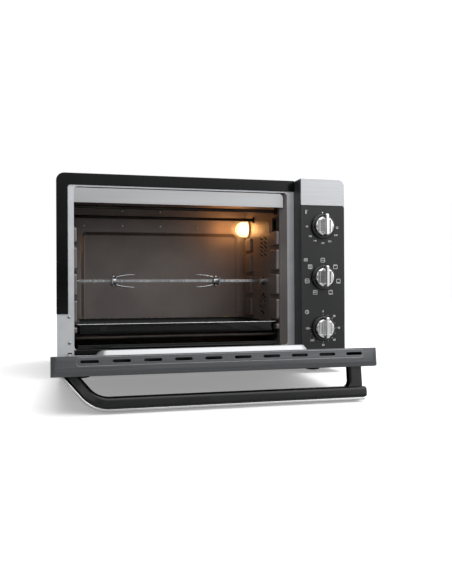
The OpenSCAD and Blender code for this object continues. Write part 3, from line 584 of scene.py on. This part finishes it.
number_r, tick_r, sign_r = 33.4, 27.4, 34
sign_lines = ((90, ((0, 0),)), (38, ((0, 2.4),)), (-13, ((0, -2.4),)), (-61, ((0, 2.4), (0, -2.4))),
              (-119, ((0, 2.4), (-1.4, -0.4), (1.4, -0.4))), (-168, ((-1.4, 0), (1.4, 0))),
              (142, ((0, 2.4), (0, 0), (0, -2.4))))
heat_numbers = (181, "60"), (217, "100"), (240, "140"), (270, "180"), (297, "220"), (329, "250")
knobs = []
for kind in ("timer", "function", "heat"):
    low_k, high_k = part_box(kind + "_skirt")
    centre = Vector(((low_k.x + high_k.x) / 2, low.y, (low_k.z + high_k.z) / 2))
    knobs.append((kind, centre))
    face = Matrix.Translation(centre) @ Matrix.Rotation(pi / 2, 4, "X")
    if kind == "timer":
        ring(-34, 32.5, 8, 8, 4)
        dot(-34, 33.6, 0.7, 3.2, 0.2)
        dot(-32.9, 32.2, 2.6, 0.7, 0.2)
        for k, text in enumerate(("0", "20", "40", "60", "80", "100")):
            a, between = radians(90 - 45 * k), radians(90 - 45 * k) - pi / 8
            number(number_r * cos(a), number_r * sin(a), text, 5.4)
            dot(tick_r * cos(a), tick_r * sin(a), 1.3, 1.3, 0.6)
            dot(tick_r * cos(between), tick_r * sin(between), 0.9, 0.9, 0.4)
        number(-number_r, 0, "120", 5.4)
        dot(-tick_r, 0, 1.3, 1.3, 0.6)
    if kind == "function":
        ring(-36, 34.6, 7.4, 5.6, 0.7)
        dot(-36, 34.6, 3, 1.6, 0.3)
        for a, lines in sign_lines:
            x, z = sign_r * cos(radians(a)), sign_r * sin(radians(a))
            ring(x, z, 8.6, 8.6, 1.2)
            for dx, dz in lines:
                dot(x + dx, z + dz, 1.6 if dx else 5, 1.6 if dx else 0.8, 0.3)
    if kind == "heat":
        dot(-35, 29, 1.6, 7, 0.7)
        dot(-35, 26.4, 3, 3, 1.4)
        dot(-31.6, 31, 1.8, 0.7, 0.3)
        dot(0, 27.7, 2.6, 2.6, 1.2)
        ring(31, -2, 4.6, 4.6, 2.2)
        for a, text in heat_numbers:
            number(33 * cos(radians(a)), 33 * sin(radians(a)), text, 4.8)
fit(gather("printed_scales", printed), ink, "oven", "fascia_black")


# Knobs: each has a glossy black skirt and a chrome plated disc with a grip ridge down its
# middle and a finger scoop on either side, moulded in ABS and pushed on a steel spindle.
# Polished black ABS: deep black with a wet gloss.
gloss_abs = finish("polished_black_abs", ("#0b0b0c", "#121213"), (0.16, 0.24), 20, 3, 0.006,
                   Coat_Weight=0.3)
# Bright chrome plate: mirror bright on its flat face and black in the scoops beside the ridge.
chrome = finish("bright_chrome_plate", ("#f6f6f7", "#fbfbfb"), (0.08, 0.14), 10, 2.5, 0.003,
                Metallic=0.97)
collar_t, spindle_r = 6, 3
disc_t, ridge_w, scoop_r = 7, 8, 6
for kind, centre in knobs:
    low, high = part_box(kind + "_skirt")
    r, spindle = (high.x - low.x) / 2 / MM, (high.y - low.y) / MM
    collar = [(0, 0), (0, 12.6), (0.3, 13), (0.3, 19.4), (0, 19.8), (0, r - 2.2), (0.5, r - 0.9),
              (1.6, r - 0.2), (3, r), (collar_t - 0.4, r), (collar_t, r - 0.6), (collar_t, spindle_r),
              (spindle, spindle_r), (spindle, 0)]
    skirt = turned(kind + "_collar", collar, (centre.x, low.y, centre.z), (0, 1, 0), 96)
    fit(skirt, gloss_abs, kind + "_knob", "skirt_black", kind + "_skirt")
    low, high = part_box(kind + "_cap")
    r, rise = (high.x - low.x) / 2 / MM, (high.y - low.y) / MM
    back = high.y
    rim = [(0, 0), (0, r - 0.5), (0.5, r), (disc_t - 2.6, r), (disc_t - 1, r - 0.7),
           (disc_t - 0.2, r - 2.2), (disc_t, r - 4), (disc_t, 0)]
    disc = turned(kind + "_disc", rim, (centre.x, back, centre.z), (0, -1, 0), 96)
    scoop = [(-r + 7, 0), (-r + 7, scoop_r), (r - 7, scoop_r), (r - 7, 0)]
    for side in (-1, 1):
        spot = (centre.x + side * (ridge_w / 2 + scoop_r) * MM,
                back - (disc_t + scoop_r / 2) * MM, centre.z)
        cut(disc, turned("scoop", scoop, spot, (0, 0, 1), 64))
    up = Matrix.Translation((centre.x, back, centre.z)) @ Matrix.Rotation(pi / 2, 4, "X")
    box = (-ridge_w / 2 * MM, low.z - centre.z, ridge_w / 2 * MM, high.z - centre.z)
    ridge = pressed("ridge", box, 2.6 * MM,
                    [(0.3 * MM, 3 * MM), (0, disc_t * MM), (0.2 * MM, (rise - 2.5) * MM),
                     (0.7 * MM, (rise - 0.9) * MM), (1.6 * MM, (rise - 0.15) * MM),
                     (2.6 * MM, rise * MM)], up)
    cut(disc, ridge, "UNION")
    fit(ease(disc, 0.35), chrome, kind + "_knob", "knob_chrome", kind + "_cap")


# Spit drive: a geared motor behind the right wall turns a square socket, and a plain bearing
# in the left wall carries the spit's round end.
# Drawn motor can: zinc plated steel, satin.
motor_can = finish("zinc_plated_can", ("#7f8286", "#96999c"), (0.35, 0.48), 10, 1, 0.01, Metallic=1.0)
# Turned stainless: bright, with fine rings that blur its highlights.
turned_stainless = finish("turned_stainless", ("#b4b6b8", "#cfd1d3"), (0.2, 0.3), 5, 0.7, 0.006,
                          (1, 0.2, 0.2), Metallic=1.0)
fit(rounded("spit_motor", "gear_motor", 1.5), motor_can, "oven", "motor_steel", "spit_motor")
fit(rounded("spit_bearing", "spit_bush", 0.4), turned_stainless, "oven", "bracket_steel", "spit_bearing")
fit(rounded("spit_socket", "drive_socket", 0.4), turned_stainless, "spit", "spit_steel", "spit_socket")


# Spit: a square stainless rod with two forks that slide on it. Each fork is a bored boss with
# a cross bar and two pointed prongs, and a wing screw locks it on the rod.
fit(rounded("spit_rod", "square_spit", 0.5), turned_stainless, "spit", "spit_steel", "spit_rod")
low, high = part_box("spit_rod")
axis_y, axis_z = (low.y + high.y) / 2, (low.z + high.z) / 2
spread, boss_l = 13, 6


def prong(x, z, reach):
    """A round prong that leaves the boss beside the rod, spreads to z and runs to a point along X."""
    path = [(x + share * reach, rise * z) for share, rise in (
        (0, 0.35), (0.12, 0.62), (0.3, 0.8), (0.55, 0.93), (0.8, 1), (0.9, 1), (1, 1))]
    radii = (2, 2, 2, 1.9, 1.7, 1.1, 0.05)
    loops = []
    for k, ((px, pz), r) in enumerate(zip(path, radii)):
        nx, nz = path[min(k + 1, len(path) - 1)]
        bx, bz = path[max(k - 1, 0)]
        a = atan2(nz - bz, nx - bx)
        loops.append([Vector((px * MM - r * MM * cos(t) * sin(a), axis_y + r * MM * sin(t),
                              axis_z + pz * MM + r * MM * cos(t) * cos(a)))
                      for t in [2 * pi * n / 20 for n in range(20)]])
    return skin("prong", loops)


for side, node, name in ((1, "spit_fork_left", "left_fork"), (-1, "spit_fork_right", "right_fork")):
    low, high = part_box(node)
    boss_x = (low.x if side > 0 else high.x) / MM + side * boss_l
    reach = side * ((high.x - low.x) / MM - boss_l)
    spot = Matrix.Translation((boss_x * MM, axis_y, axis_z))
    boss = turned("boss", [(-boss_l, 0), (-boss_l, 8), (-5.2, 9), (5.2, 9), (boss_l, 8), (boss_l, 0)],
                  spot.translation, (1, 0, 0))
    bar = pressed("bar", (-4 * MM, -spread * MM, 4 * MM, spread * MM), 3.9 * MM,
                  [(0.5 * MM, -2 * MM), (0, -1.5 * MM), (0, 1.5 * MM), (0.5 * MM, 2 * MM)],
                  spot @ Matrix.Rotation(pi / 2, 4, "Y") @ Matrix.Rotation(pi / 2, 4, "Z"))
    fork = gather(name, [boss, bar] + [prong(boss_x, z, reach) for z in (-spread, spread)])
    fit(fork, turned_stainless, "spit", "spit_steel", node)
fit(rounded("fork_screws", "wing_screws", 0.5), plated, "spit", "screw_steel", "fork_screws")


# Fan: a thin guard disc with two rings of slanted slots in the right wall, and a small
# aluminium rotor with its motor behind it.
# Mill aluminium: soft grey, fine lines from the roller.
mill_aluminium = finish("mill_aluminium", ("#a2a4a6", "#b9bbbd"), (0.34, 0.46), 12, 1.2, 0.01, (1, 0.3, 1),
                        Metallic=1.0)
low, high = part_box("fan_grille")
middle = Vector((low.x, (low.y + high.y) / 2, (low.z + high.z) / 2))
guard_r, guard_t, swirl = (high.z - low.z) / 2 / MM, 0.6, radians(50)
guard_edge = [(0, 0), (0, guard_r - 0.4), (0.2, guard_r), (guard_t, guard_r), (guard_t, 0)]
guard = turned("fan_guard", guard_edge, middle, (1, 0, 0), 72)
for radius, count, wide, long in ((9, 6, 3.6, 8), (20, 10, 5, 13)):
    slot_box = (-wide / 2 * MM, -long / 2 * MM, wide / 2 * MM, long / 2 * MM)
    for k in range(count):
        spot = (Matrix.Translation(middle) @ Matrix.Rotation(2 * pi * k / count, 4, "X")
                @ Matrix.Translation((0, 0, radius * MM)) @ Matrix.Rotation(swirl, 4, "X"))
        cut(guard, skin("slot", [[spot @ Vector((x, y, z)) for y, z in loop_of(slot_box, 1.8 * MM)]
                                 for x in (-1 * MM, 2 * MM)]))
fit(ease(guard, 0), aluminised, "oven", "cavity_steel", "fan_grille")
fit(rounded("fan_rotor", "fan_blades", 0.3), mill_aluminium, "fan", "fan_aluminium", "fan_rotor")
fit(rounded("fan_motor", "fan_drive", 1.5), motor_can, "oven", "motor_steel", "fan_motor")


# Baking tray: deep drawn steel with a dark enamel. Its flat rim rests in the lowest grooves.
# Dark vitreous enamel: black and glossy, slightly uneven where it pooled.
tray_enamel = finish("vitreous_enamel", ("#101112", "#141516"), (0.14, 0.22), 60, 7, 0.01)
low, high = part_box("baking_tray")
bowl = 9.5 * MM
rim_z, floor_z = high.z, low.z
tray_box, tray_r, flat = (low.x, low.y, high.x, high.y), 6 * MM, Matrix.Identity(4)
outside = [(bowl + 12 * MM, floor_z), (bowl + 2.5 * MM, floor_z), (bowl + 0.6 * MM, floor_z + 1 * MM),
           (bowl, floor_z + 3 * MM), (bowl, rim_z - 2.4 * MM), (bowl - 1 * MM, rim_z - 1.9 * MM)]
rim = [(0.8 * MM, rim_z - 1.9 * MM), (0.15 * MM, rim_z - 1.5 * MM), (0, rim_z - 0.9 * MM),
       (0.25 * MM, rim_z - 0.3 * MM), (0.9 * MM, rim_z), (1.9 * MM, rim_z - 0.4 * MM)]
inside = [(bowl - 0.4 * MM, rim_z - 0.8 * MM), (bowl + 1 * MM, rim_z - 1.6 * MM),
          (bowl + 1.2 * MM, floor_z + 4 * MM), (bowl + 2 * MM, floor_z + 2 * MM),
          (bowl + 4 * MM, floor_z + 1 * MM), (bowl + 12 * MM, floor_z + 1 * MM)]
tray = pressed("enamel_tray", tray_box, tray_r, outside + rim + inside, flat)
fit(tray, tray_enamel, "baking_tray", "tray_enamel", "baking_tray")
# Rim bead: a rolled wire round the tray's rim, in a pale steel colour that is a painted highlight along
# the rim's edge.
rim_highlight_paint = finish("rim_steel_painted_highlight", ("#c8c9ca", "#dcdddd"), (0.2, 0.3), 6, 1, 0.01, Metallic=0.9)
wire_r = 0.9
wire = [((wire_r + wire_r * cos(t)) * MM, rim_z + (wire_r * sin(t) - 0.85) * MM)
        for t in [2 * pi * k / 12 for k in range(12)]]
bead = pressed("rim_bead", tray_box, tray_r, wire, flat, "joined")
fit(bead, rim_highlight_paint, "baking_tray", "spit_steel")


# Crumb tray: a shallow folded tray of enamelled sheet that slides out under the lower tubes,
# black and glossy like the baking tray.
fit(rounded("crumb_tray", "folded_crumb_tray", 0.3), tray_enamel, "crumb_tray", "crumb_enamel",
    "crumb_tray")


# Hinges: stamped and zinc plated, two tabs on the frame carry each pin, and an arm from the
# door's bottom rail turns on it.
fit(rounded("hinge_brackets", "hinge_tabs", 0.3), galvanised, "oven", "bracket_steel", "hinge_brackets")
fit(rounded("hinge_arms", "hinge_leaves", 0.4), galvanised, "door", "bracket_steel", "hinge_arms")


# Door frame: three black steel rails round two panes of dark glass, with a bright pressed
# frame screwed inside the window.
# Baked black lacquer: satin, a little lighter than the glass.
lacquer = finish("baked_lacquer", ("#17181a", "#1e1f21"), (0.32, 0.42), 30, 1.5, 0.015)
# Tinted float glass: almost black from outside, with a hard clear gloss.
tinted_glass = finish("tinted_float_glass", ("#090a0b", "#0c0d0e"), (0.03, 0.05), 90, 30, 0.004,
                      Coat_Weight=0.5)
# Pressed stainless: pale and bright, the lightest surface of the open door.
pale_stainless = finish("pressed_stainless", ("#a3a4a6", "#adaeb0"), (0.3, 0.38), 20, 1.5, 0.01,
                        (0.05, 1, 1), Metallic=0.9)
for node, name in (("door_rail_left", "left_rail"), ("door_rail_right", "right_rail"),
                   ("door_rail_bottom", "bottom_rail")):
    fit(rounded(node, name, 0.7), lacquer, "door", "rail_black", node)
for node, name in (("door_outer_glass", "outer_pane"), ("door_inner_glass", "inner_pane")):
    fit(rounded(node, name, 0.4), tinted_glass, "door", "door_glass", node)


# Door top: a brushed metal cap across the free end of the door, with a bevelled front corner,
# ten punched vent slots and a fine raised line round its end face.
hinge = next(j for j in frame["joints"] if j["name"] == "door_hinge")
tilt = radians(90 + min(hinge["range_deg"]))
door_space = Matrix.Translation(hinge["pos_m"]) @ Matrix.Rotation(-tilt, 4, "X")


def door_box(node):
    """A node's lowest and highest corner in the door's own frame, where -Y is the free end."""
    points = [door_space.inverted() @ v.co for v in frame["nodes"][node].data.vertices]
    return [Vector(f(p[k] for p in points) for k in range(3)) for f in (min, max)]


low, high = door_box("door_inner_pan")
frame_up = (high.z - low.z) / MM
window_steps = ((0, 0), (0.6, 1.2), (5.2, frame_up - 1.6), (6.2, frame_up - 0.5), (7.5, frame_up),
                (13, frame_up), (14.6, frame_up - 0.5), (15.6, frame_up - 2), (16, 1), (16, 0))
window = pressed("window_frame", (low.x, low.y, high.x, high.y), 14 * MM,
                 [(i * MM, h * MM) for i, h in window_steps],
                 door_space @ Matrix.Translation((0, 0, low.z)), "joined")
fit(window, pale_stainless, "door", "pan_steel", "door_inner_pan")

# Brushed and clear-coated steel: mid grey, its fine lines run along the door.
brushed_steel = finish("brushed_door_steel", ("#66686b", "#6f7174"), (0.32, 0.4), 1.2, 0.8, 0.006,
                       (0.012, 1, 1), Metallic=0.9)
door_cap = rounded("door_top_cap", "door_end_cap", 0.6, 3)
low, high = door_box("door_top_cap")
end_face = door_space @ Matrix(((1, 0, 0, 0), (0, 0, -1, low.y), (0, 1, 0, 0), (0, 0, 0, 1)))
corner, clear = 6 * MM, 20 * MM
outline = loop_of((low.x - clear, low.z, high.x, high.z + clear), corner)
keep = skin("outline", [[end_face @ Vector((x, z, height)) for x, z in outline]
                        for height in (-0.2, 0.05)])
cut(door_cap, keep, "INTERSECT")
fit(ease(door_cap, 0), brushed_steel, "door", "brushed_silver", "door_top_cap")
# Cap bead: a raised line round the slots, coloured a little brighter than the cap; the brighter colour is
# a painted highlight along the line.
bead_highlight_paint = finish("cap_bead_painted_highlight", ("#85878a", "#8f9194"), (0.26, 0.34), 6, 0.8, 0.004,
                       Metallic=0.9)
line_w, line_in = 0.9 * MM, 0.6 * MM
line_box = (low.x + 33 * MM, high.z - 14.2 * MM, high.x - 23.8 * MM, high.z - 1.6 * MM)
bead = pressed("cap_bead", line_box, 5 * MM,
               [(0, -line_in), (0, 0.15 * MM), (0.25 * line_w, 0.35 * MM), (0.75 * line_w, 0.35 * MM),
                (line_w, 0.15 * MM), (line_w, -line_in)], end_face, "joined")
fit(bead, bead_highlight_paint, "door", "brushed_silver")


# Handle: a black moulded bar on two legs with a chromed strip along its outer side. The left
# leg leans in and runs into the bar in one bend, and the right leg stands straight.
# Satin black moulding: smooth, with long soft highlights.
satin_bar = finish("satin_black_moulding", ("#0b0c0d", "#101112"), (0.24, 0.32), 40, 3, 0.008,
                   Coat_Weight=0.1)
# Satin chrome strip: bright but soft, a pale line under the black bar.
satin_chrome = finish("satin_chrome_strip", ("#e6e7e8", "#efeff0"), (0.2, 0.3), 20, 2, 0.006, (0.1, 1, 1),
                      Metallic=1.0)
strip_low, strip_high = door_box("handle_strip")
bar_low, bar_high = door_box("handle_bar")
root, bottom = bar_high.z / MM, strip_low.z / MM
left_x, right_x = strip_low.x / MM - 3, bar_high.x / MM
outer_r, strip_t, bar_t, lean_x, leg_inset = 53.5, 4, 15.5, 41, 13
slant = atan2(lean_x, root - bottom)
turn_z = bottom + outer_r
turn_x = left_x + (outer_r - (turn_z - root) * sin(slant)) / cos(slant)


def station(w, place_on):
    """Where the line w mm inside the handle's outer side stands: on the leg (0 to 1), in the
    bend (1 to 2) or, after that, as many mm along the bar."""
    foot = Vector((left_x + w / cos(slant), root))
    bend = [Vector((turn_x + (outer_r - w) * cos(a), turn_z + (outer_r - w) * sin(a)))
            for a in (pi + slant, pi + slant + (pi / 2 - slant) * (place_on - 1))]
    if place_on <= 1:
        return foot.lerp(bend[0], place_on)
    return bend[1] if place_on <= 2 else Vector((turn_x + place_on - 2, bottom + w))


def swept(name, stops, w0, w1, r, depth):
    """A section from w0 to w1 mm inside the outer side, with corner radius r, swept along the
    handle. stops holds (place, inset), and depth gives its range in Y at each place."""
    loops = []
    for place_on, inset in stops:
        y0, y1 = depth(place_on)
        loop = []
        for y, w in loop_of((y0, w0, y1, w1), r, inset):
            x, z = station(w, place_on)
            loop.append(door_space @ Vector((x * MM, y * MM, z * MM)))
        loops.append(loop)
    return skin(name, loops)


def bar_depth(place_on):
    """The leg is slim, and the section grows to the bar's full depth in the bend."""
    blend = min(max((place_on - 0.5) / 1.2, 0), 1)
    blend = blend * blend * (3 - 2 * blend)
    return bar_low.y / MM + leg_inset * (1 - blend), bar_high.y / MM - (1 - blend)


def strip_depth(place_on):
    """The strip keeps its depth all along."""
    return strip_low.y / MM, strip_high.y / MM


leg_steps = [(0, 0), (0.35, 0), (0.7, 0)] + [(1 + k / 16, 0) for k in range(17)]
bar_end, strip_end = 2 + right_x - turn_x, 2 + strip_high.x / MM - turn_x
bar_steps = leg_steps + [(40, 0), (bar_end - 30, 0), (bar_end - 3, 0), (bar_end - 1.6, 0.35),
                         (bar_end - 0.5, 1.1), (bar_end, 2.6)]
bar = swept("bar", bar_steps, strip_t, strip_t + bar_t, 4.5, bar_depth)
leg_w, leg_y = 21, (bar_low.y / MM + leg_inset, bar_high.y / MM - 1)
flares = ((0, 0, 0), (20, 0, 0), (24, 0.6, 0), (27, 2.2, 0), (29, 5.2, 0), (30.2, 9, 0), (36, 9, 1))
leg = skin("leg", [[door_space @ Vector((x * MM, y * MM, (root - drop) * MM)) for x, y in
                    loop_of((right_x - leg_w - flare, leg_y[0], right_x - tuck, leg_y[1]), 3.5)]
                   for drop, flare, tuck in flares])
fit(ease(gather("grip_bar", [bar, leg]), 0), satin_bar, "door", "handle_black", "handle_bar")
strip = swept("grip_strip", leg_steps + [(40, 0), (strip_end - 1, 0), (strip_end, 0.8)], 0, strip_t, 1.1,
              strip_depth)
fit(ease(strip, 0), satin_chrome, "door", "strip_chrome", "handle_strip")
